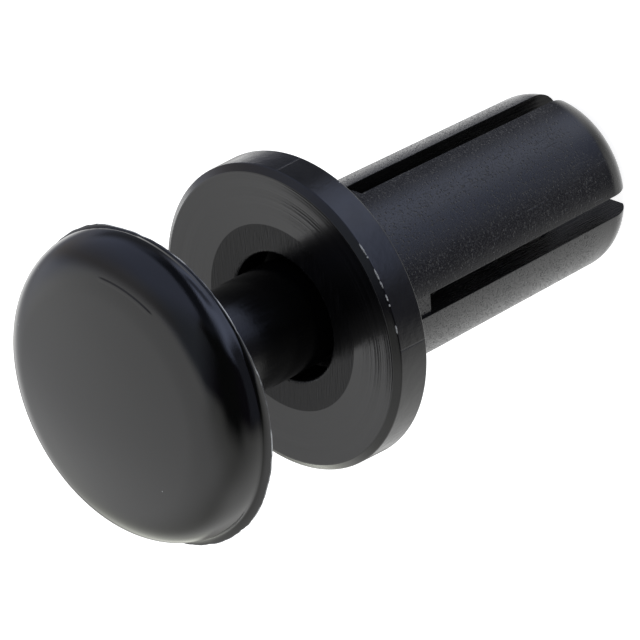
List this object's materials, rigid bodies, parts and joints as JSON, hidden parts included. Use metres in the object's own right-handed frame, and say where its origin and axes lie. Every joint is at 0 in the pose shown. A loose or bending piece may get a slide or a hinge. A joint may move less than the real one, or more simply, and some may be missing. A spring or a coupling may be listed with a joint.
{
  "type": "push rivet",
  "caption": "Two-piece plastic push rivet: a domed pin raised above a round flange on a slotted sleeve, pushed in to lock panels together.",
  "frame": {"origin": "on the rivet's axis, in the plane of the flange face that seats on the panel", "axes": "+Z along the axis towards the head of the pin; the sleeve points to -Z; X and Y pass through the slots between the legs"},
  "size_m": [0.0066, 0.0066, 0.0133],
  "materials": {
    "grommet_nylon": "black polyamide, fine spark-eroded grain on the sleeve, smooth flange",
    "pin_nylon": "black polyamide, smooth moulded finish"
  },
  "bodies": {
    "grommet": {"grommet": "grommet_nylon"},
    "pin": {"pin": "pin_nylon"}
  },
  "joints": [
    {"name": "push_in", "type": "slide", "parent": "grommet", "child": "pin", "axis": [0, 0, -1], "range_m": [0, 0.0035]}
  ]
}
